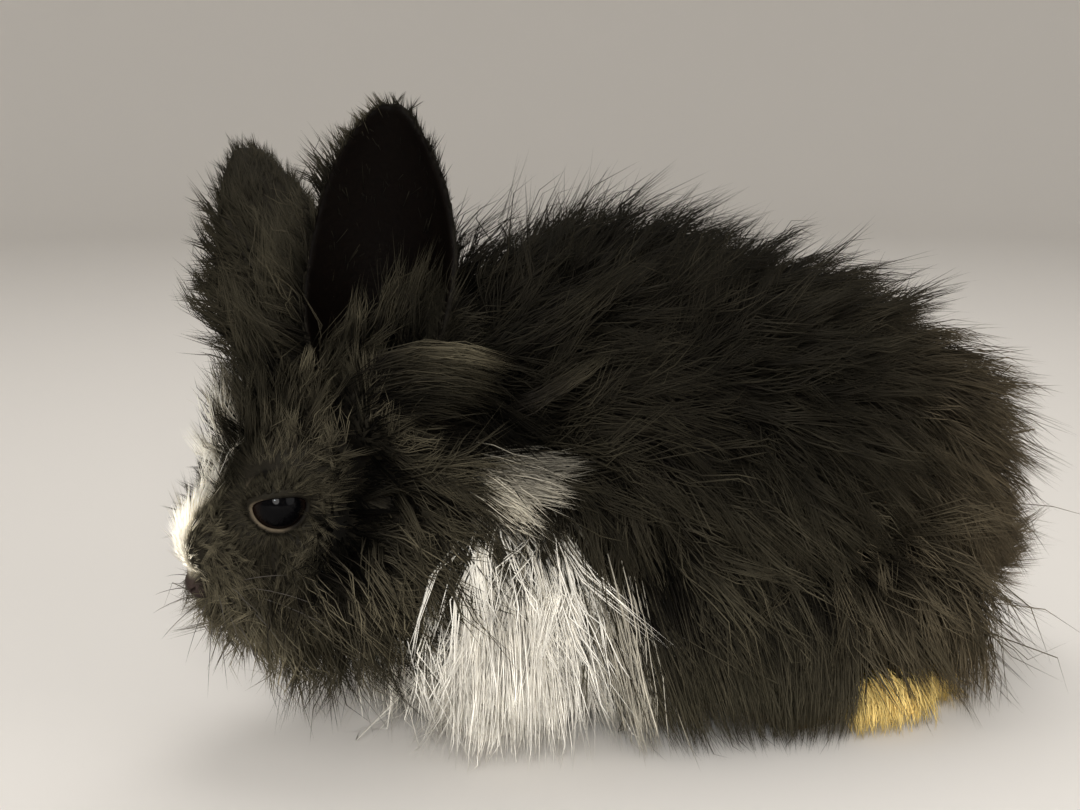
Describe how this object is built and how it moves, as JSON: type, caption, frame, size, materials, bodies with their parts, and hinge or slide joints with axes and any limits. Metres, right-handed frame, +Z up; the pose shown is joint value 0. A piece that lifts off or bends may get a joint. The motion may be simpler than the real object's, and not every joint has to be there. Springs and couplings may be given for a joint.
{
  "type": "lionhead rabbit model",
  "caption": "Still life-size model of a young lionhead rabbit, crouched with its head low, in a long charcoal wool coat with white chest and feet.",
  "frame": {"origin": "centre of the model's footprint box, on the floor under its feet", "axes": "+Z up, the head faces -X, the animal's left side faces -Y"},
  "size_m": [0.2301, 0.1083, 0.1438],
  "materials": {
    "charcoal_wool": "long matte wool, charcoal brown",
    "white_wool": "short matte fur, warm white",
    "ear": "short dark fur over thin skin",
    "eye": "wet dark eye",
    "skin": "bare skin of nose, lids and lips",
    "claw": "horn of the claws"
  },
  "bodies": {
    "root": {"head": "charcoal_wool", "torso": "charcoal_wool", "tail": "charcoal_wool", "ear_left": "ear", "ear_right": "ear", "eye_left": "eye", "eye_right": "eye", "foreleg_left": "white_wool", "foreleg_right": "white_wool", "hindleg_left": "white_wool", "hindleg_right": "white_wool"}
  },
  "joints": []
}
